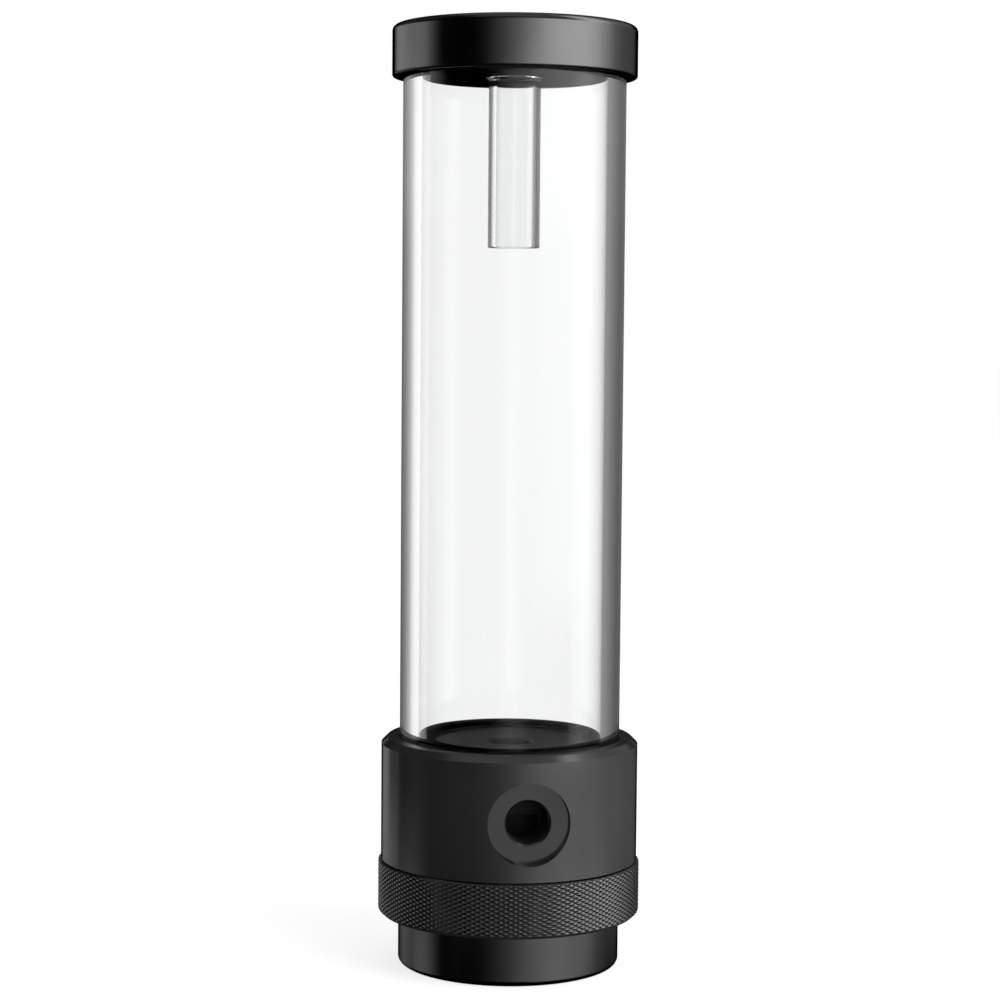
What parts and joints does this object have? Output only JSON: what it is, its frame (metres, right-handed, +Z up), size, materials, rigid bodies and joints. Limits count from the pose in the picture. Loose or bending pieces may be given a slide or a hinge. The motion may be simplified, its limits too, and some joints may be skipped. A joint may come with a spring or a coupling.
{
  "type": "coolant pump reservoir",
  "caption": "Round coolant reservoir with a thick clear tube, a black cap and a black base that holds a canned pump by a knurled lock ring.",
  "frame": {"origin": "centre of the foot's underside", "axes": "+Z up the tube, -Y out of the outlet port, +X to the right when facing the port"},
  "size_m": [0.0716, 0.0716, 0.254],
  "materials": {
    "base_black": "matt black, turned",
    "cap_black": "satin black anodised",
    "ring_black": "satin black anodised, knurled",
    "foot_black": "satin black",
    "clear": "polished clear acrylic",
    "seal": "black rubber",
    "floor": "matt dark grey",
    "washer": "white slip plastic",
    "board": "green solder resist",
    "parts": "moulded electronic components",
    "steel": "drawn stainless steel",
    "laminations": "stacked steel sheet",
    "copper": "enamelled copper wire",
    "magnet": "moulded magnet",
    "rotor_plastic": "moulded natural plastic",
    "ceramic": "polished ceramic"
  },
  "bodies": {
    "reservoir": {"base_manifold": "base_black", "floor_plate": "floor", "floor_seal": "seal", "reservoir_tube": "clear", "tube_seal_lower": "seal", "tube_seal_upper": "seal", "top_cap": "cap_black", "drop_tube": "clear", "drop_tube_seal": "seal", "pump_seal": "seal"},
    "plug_lift": {"fill_plug_seal": "seal"},
    "fill_plug": {"fill_plug": "cap_black"},
    "pump": {"pump_housing": "foot_black", "cable_grommet": "seal", "driver_board": "board", "board_parts": "parts", "board_screws": "steel", "stator_core": "laminations", "stator_coils": "copper", "separator_can": "steel", "can_gasket": "seal", "bearing_post": "steel", "bearing_ball": "ceramic"},
    "lock_ring": {"lock_ring": "ring_black", "slip_washer": "washer"},
    "rotor": {"rotor_magnet": "magnet", "impeller": "rotor_plastic", "bearing_cup": "magnet"}
  },
  "joints": [
    {"name": "pump_drop", "type": "slide", "parent": "reservoir", "child": "pump", "axis": [0, 0, -1], "range_m": [0, 0.0045]},
    {"name": "ring_turn", "type": "hinge", "parent": "pump", "child": "lock_ring", "pos_m": [0, 0, 0.0213], "axis": [0, 0, -1], "range_deg": [0, 1080]},
    {"name": "rotor_spin", "type": "hinge", "parent": "pump", "child": "rotor", "pos_m": [0, 0, 0.0245], "axis": [0, 0, 1], "continuous": true},
    {"name": "plug_rise", "type": "slide", "parent": "reservoir", "child": "plug_lift", "axis": [0, 0, 1], "range_m": [0, 0.00668]},
    {"name": "plug_turn", "type": "hinge", "parent": "plug_lift", "child": "fill_plug", "pos_m": [0, 0.01678, 0.251], "axis": [0, 0, 1], "range_deg": [0, 1800]}
  ],
  "couplings": [
    {"joint": "ring_turn", "follows": "pump_drop", "rad_per_m": 4188.8},
    {"joint": "plug_turn", "follows": "plug_rise", "rad_per_m": 4699.5}
  ]
}
